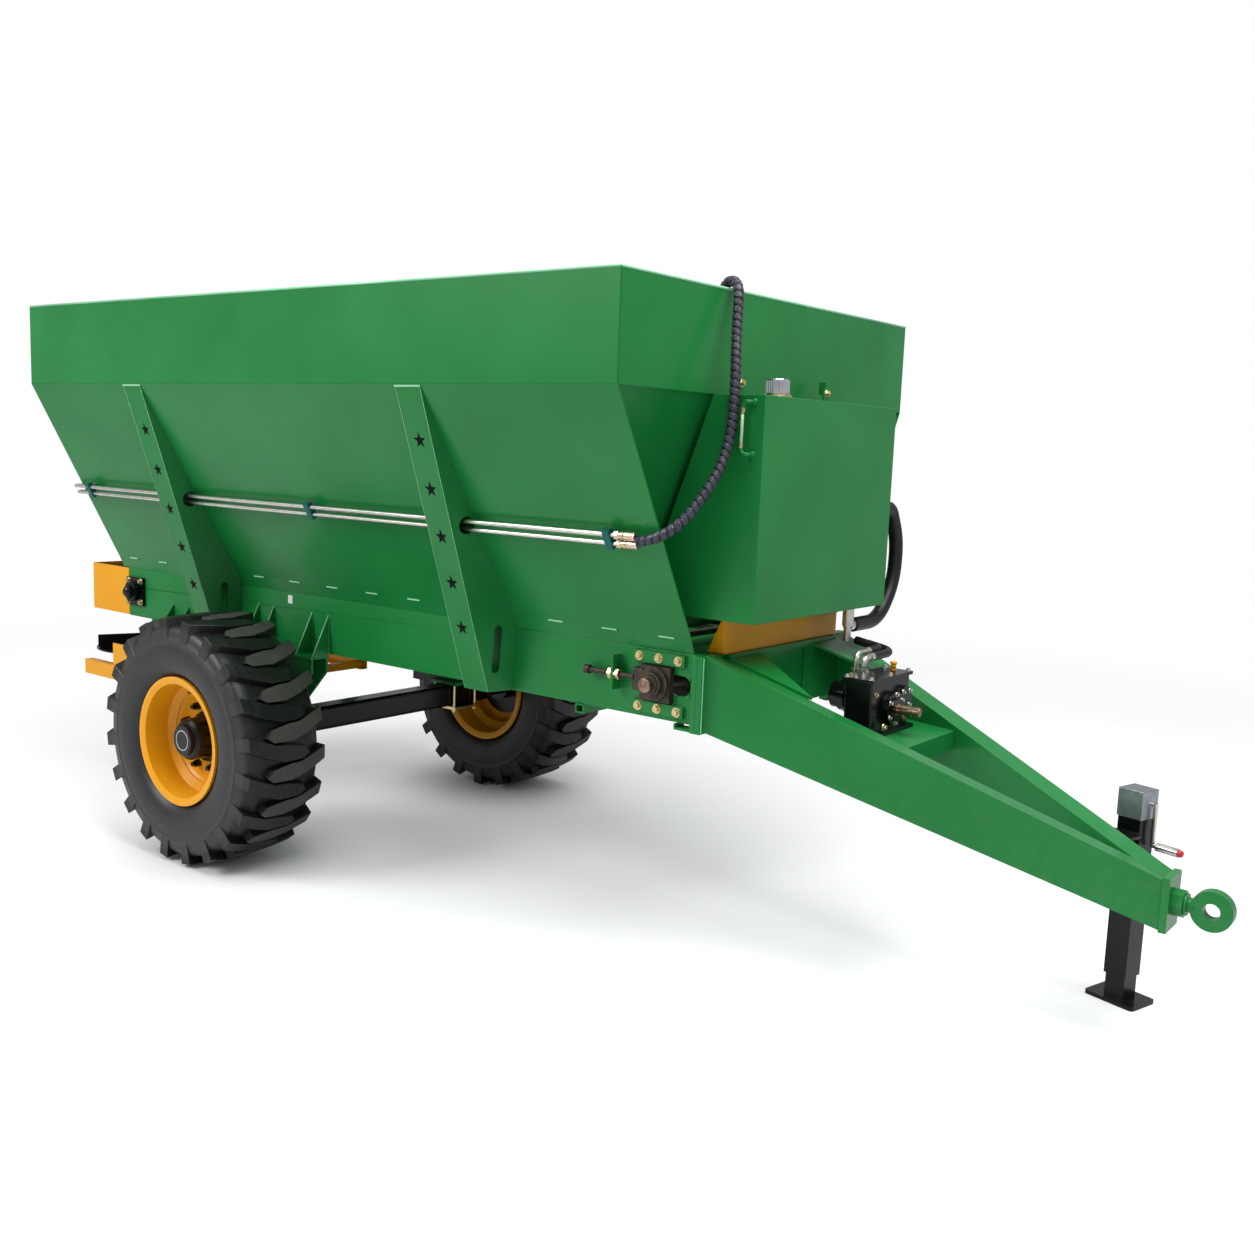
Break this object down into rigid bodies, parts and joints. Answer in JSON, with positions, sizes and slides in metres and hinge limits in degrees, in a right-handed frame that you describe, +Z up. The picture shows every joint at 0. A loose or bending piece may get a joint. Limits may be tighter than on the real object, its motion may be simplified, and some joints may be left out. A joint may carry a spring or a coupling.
{
  "type": "manure spreader",
  "caption": "Trailed manure spreader with a V-shaped hopper, slatted floor conveyor, rear gate, discharge chute, horizontal spinner discs, A-frame drawbar with swivel eye and a parking jack.",
  "frame": {"origin": "middle of the machine's footprint box, on the ground", "axes": "+X forward to the tow eye, +Y to the machine's left, +Z up"},
  "size_m": [5.6725, 2.248, 2.452],
  "materials": {
    "green_paint": "gloss",
    "yellow_paint": "gloss",
    "black_paint": "satin",
    "tyre_rubber": "matt",
    "hose_rubber": "matt",
    "bare_steel": "satin",
    "chrome_plate": "polished",
    "cast_housing": "rough",
    "zinc_yellow": "satin",
    "clear_tube": "clear",
    "teal_plastic": "satin"
  },
  "bodies": {
    "chassis": {"axle_beam": "black_paint", "axle_brackets": "green_paint", "axle_clamps": "zinc_yellow", "chassis_cross_members": "green_paint", "chassis_rail_left": "green_paint", "chassis_rail_right": "green_paint", "conveyor_chains": "bare_steel", "conveyor_floor": "green_paint", "conveyor_shafts": "bare_steel", "conveyor_slats": "bare_steel", "discharge_chute": "yellow_paint", "drawbar_beam_left": "green_paint", "drawbar_beam_right": "green_paint", "drawbar_cross_beam": "green_paint", "drawbar_nose": "green_paint", "filler_cap": "chrome_plate", "gate_cylinder": "green_paint", "gearbox": "black_paint", "gearbox_mount": "green_paint", "hopper_front_board": "green_paint", "hopper_front_slope": "green_paint", "hopper_hose": "hose_rubber", "hopper_rear_wall": "green_paint", "hopper_side_board_left": "green_paint", "hopper_side_board_right": "green_paint", "hopper_side_slope_left": "green_paint", "hopper_side_slope_right": "green_paint", "hose_couplers": "bare_steel", "hydraulic_fittings": "bare_steel", "hydraulic_hoses": "hose_rubber", "hydraulic_motors": "black_paint", "hydraulic_pump": "black_paint", "jack_cap": "chrome_plate", "jack_crank": "bare_steel", "jack_tube": "black_paint", "oil_tank": "green_paint", "pipe_clamps": "teal_plastic", "rear_shaft_bearings": "black_paint", "side_pipes": "bare_steel", "side_ribs_left": "green_paint", "side_ribs_right": "green_paint", "sight_gauge": "clear_tube", "spreader_frame": "yellow_paint", "spreader_hangers": "green_paint", "take_up_bearings": "cast_housing", "tank_support": "yellow_paint"},
    "wheel_left": {"tyre_left": "tyre_rubber", "rim_left": "yellow_paint", "hub_left": "black_paint"},
    "wheel_right": {"tyre_right": "tyre_rubber", "rim_right": "yellow_paint", "hub_right": "black_paint"},
    "spinner_left": {"spinner_disc_left": "black_paint"},
    "spinner_right": {"spinner_disc_right": "black_paint"},
    "input_shaft": {"pto_shaft": "bare_steel"},
    "hitch_eye": {"tow_eye": "green_paint"},
    "jack_foot": {"jack_leg": "black_paint"},
    "gate": {"rear_gate": "green_paint", "gate_ram": "bare_steel"}
  },
  "joints": [
    {"name": "wheel_left_spin", "type": "hinge", "parent": "chassis", "child": "wheel_left", "pos_m": [-1.10825, 0.926, 0.5375], "axis": [0, 1, 0], "continuous": true},
    {"name": "wheel_right_spin", "type": "hinge", "parent": "chassis", "child": "wheel_right", "pos_m": [-1.10825, -0.926, 0.5375], "axis": [0, 1, 0], "continuous": true},
    {"name": "spinner_left_spin", "type": "hinge", "parent": "chassis", "child": "spinner_left", "pos_m": [-2.54825, 0.3, 0.69], "axis": [0, 0, 1], "continuous": true},
    {"name": "spinner_right_spin", "type": "hinge", "parent": "chassis", "child": "spinner_right", "pos_m": [-2.54825, -0.3, 0.69], "axis": [0, 0, 1], "continuous": true},
    {"name": "pto_spin", "type": "hinge", "parent": "chassis", "child": "input_shaft", "pos_m": [1.69175, 0, 0.96], "axis": [1, 0, 0], "continuous": true},
    {"name": "tow_eye_swivel", "type": "hinge", "parent": "chassis", "child": "hitch_eye", "pos_m": [2.67175, 0, 0.495], "axis": [1, 0, 0], "continuous": true},
    {"name": "jack_slide", "type": "slide", "parent": "chassis", "child": "jack_foot", "axis": [0, 0, 1], "range_m": [0, 0.065]},
    {"name": "gate_slide", "type": "slide", "parent": "chassis", "child": "gate", "axis": [0, 0, 1], "range_m": [0, 0.4]}
  ]
}
